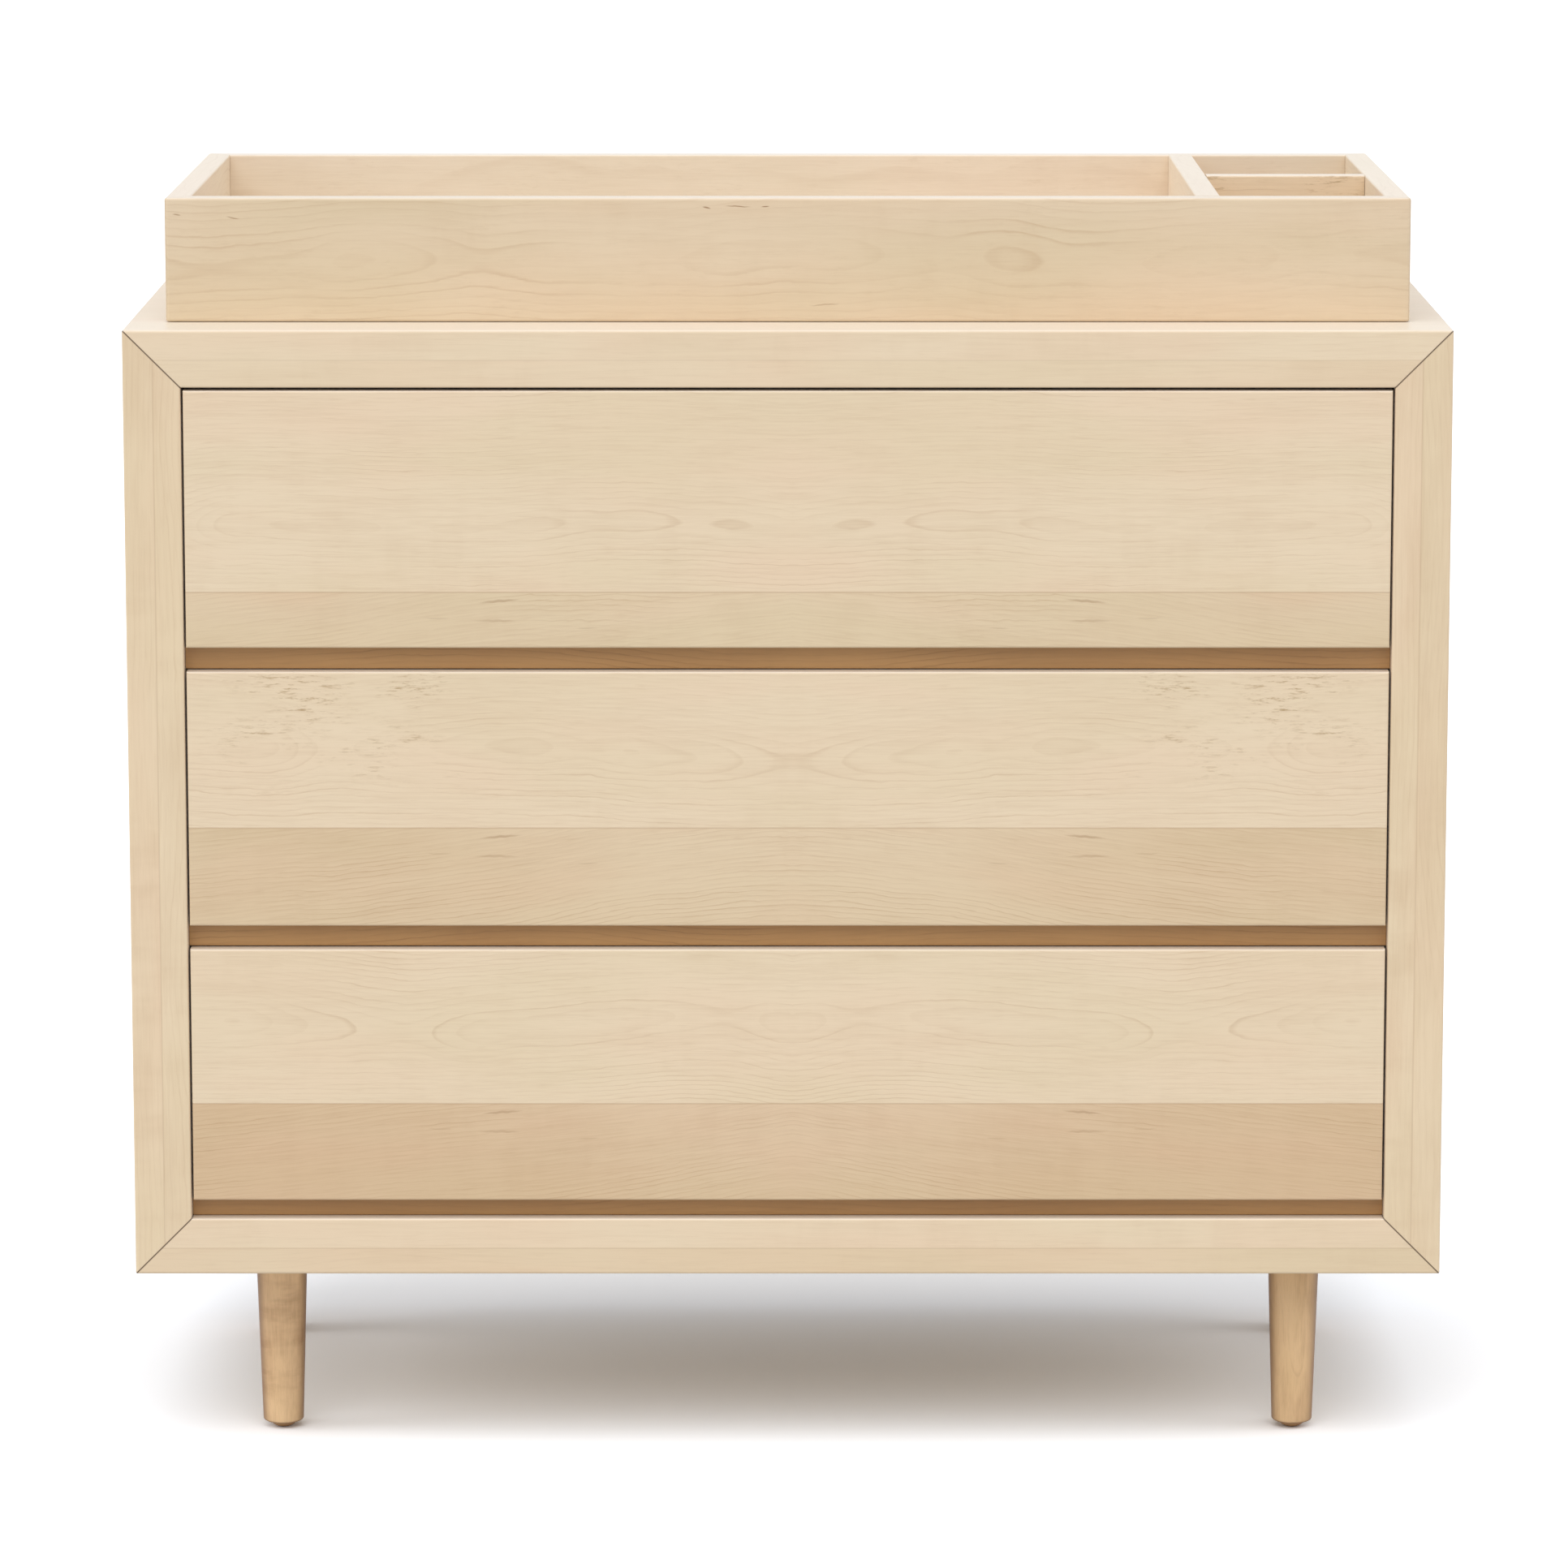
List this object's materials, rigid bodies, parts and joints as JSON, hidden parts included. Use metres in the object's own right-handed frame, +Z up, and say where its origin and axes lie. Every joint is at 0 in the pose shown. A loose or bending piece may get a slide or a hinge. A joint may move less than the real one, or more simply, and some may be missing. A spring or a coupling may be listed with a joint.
{
  "type": "changing table",
  "caption": "Pale maple changing-table dresser: mitred case on turned legs, inset handleless drawers on slides, and a lift-off changing tray with a caddy.",
  "frame": {"origin": "on the floor, at the centre of the object's bounding box seen from above", "axes": "+X to the object's own right as seen from the front, along its width; +Y towards the back; +Z up. The drawers open towards -Y"},
  "size_m": [1.06, 0.5168, 1.02],
  "materials": {
    "maple": "clear satin lacquer on pale maple",
    "leg_maple": "satin lacquer on a slightly darker, more golden wood",
    "drawer_box_birch": "clear matt lacquer on birch",
    "panel_board": "thin veneered board, matt",
    "zinc_steel": "bright zinc plate",
    "glide_plastic": "tan moulded plastic"
  },
  "bodies": {
    "case": {"top_panel": "maple", "bottom_panel": "maple", "left_side_panel": "maple", "right_side_panel": "maple", "back_panel": "panel_board", "base_rail": "maple", "lower_divider_rail": "maple", "upper_divider_rail": "maple", "front_left_leg": "leg_maple", "front_right_leg": "leg_maple", "back_left_leg": "leg_maple", "back_right_leg": "leg_maple", "front_left_leg_glide": "glide_plastic", "front_right_leg_glide": "glide_plastic", "back_left_leg_glide": "glide_plastic", "back_right_leg_glide": "glide_plastic", "bottom_left_case_channel": "zinc_steel", "bottom_right_case_channel": "zinc_steel", "middle_left_case_channel": "zinc_steel", "middle_right_case_channel": "zinc_steel", "top_left_case_channel": "zinc_steel", "top_right_case_channel": "zinc_steel", "anti_tip_bracket": "zinc_steel"},
    "bottom_runner": {"bottom_left_middle_channel": "zinc_steel", "bottom_right_middle_channel": "zinc_steel"},
    "bottom_drawer": {"bottom_drawer_front": "maple", "bottom_drawer_left_side": "drawer_box_birch", "bottom_drawer_right_side": "drawer_box_birch", "bottom_drawer_back": "drawer_box_birch", "bottom_drawer_bottom": "panel_board", "bottom_left_drawer_channel": "zinc_steel", "bottom_right_drawer_channel": "zinc_steel"},
    "middle_runner": {"middle_left_middle_channel": "zinc_steel", "middle_right_middle_channel": "zinc_steel"},
    "middle_drawer": {"middle_drawer_front": "maple", "middle_drawer_left_side": "drawer_box_birch", "middle_drawer_right_side": "drawer_box_birch", "middle_drawer_back": "drawer_box_birch", "middle_drawer_bottom": "panel_board", "middle_left_drawer_channel": "zinc_steel", "middle_right_drawer_channel": "zinc_steel"},
    "top_runner": {"top_left_middle_channel": "zinc_steel", "top_right_middle_channel": "zinc_steel"},
    "top_drawer": {"top_drawer_front": "maple", "top_drawer_left_side": "drawer_box_birch", "top_drawer_right_side": "drawer_box_birch", "top_drawer_back": "drawer_box_birch", "top_drawer_bottom": "panel_board", "top_left_drawer_channel": "zinc_steel", "top_right_drawer_channel": "zinc_steel"},
    "tray": {"tray_front_wall": "maple", "tray_back_wall": "maple", "tray_left_wall": "maple", "tray_right_wall": "maple", "tray_divider": "maple", "caddy_cross_divider": "maple", "tray_pad_base": "panel_board", "tray_caddy_base": "panel_board", "left_tray_bracket": "zinc_steel", "right_tray_bracket": "zinc_steel"}
  },
  "joints": [
    {"name": "bottom_drawer_slide", "type": "slide", "parent": "case", "child": "bottom_drawer", "axis": [0, -1, 0], "range_m": [0, 0.38]},
    {"name": "bottom_runner_slide", "type": "slide", "parent": "case", "child": "bottom_runner", "axis": [0, -1, 0], "range_m": [0, 0.19]},
    {"name": "middle_drawer_slide", "type": "slide", "parent": "case", "child": "middle_drawer", "axis": [0, -1, 0], "range_m": [0, 0.38]},
    {"name": "middle_runner_slide", "type": "slide", "parent": "case", "child": "middle_runner", "axis": [0, -1, 0], "range_m": [0, 0.19]},
    {"name": "top_drawer_slide", "type": "slide", "parent": "case", "child": "top_drawer", "axis": [0, -1, 0], "range_m": [0, 0.38]},
    {"name": "top_runner_slide", "type": "slide", "parent": "case", "child": "top_runner", "axis": [0, -1, 0], "range_m": [0, 0.19]},
    {"name": "tray_lift", "type": "slide", "parent": "case", "child": "tray", "axis": [0, 0, 1], "range_m": [0, 0.15]}
  ],
  "couplings": [
    {"joint": "bottom_runner_slide", "follows": "bottom_drawer_slide", "ratio": 0.5},
    {"joint": "middle_runner_slide", "follows": "middle_drawer_slide", "ratio": 0.5},
    {"joint": "top_runner_slide", "follows": "top_drawer_slide", "ratio": 0.5}
  ]
}
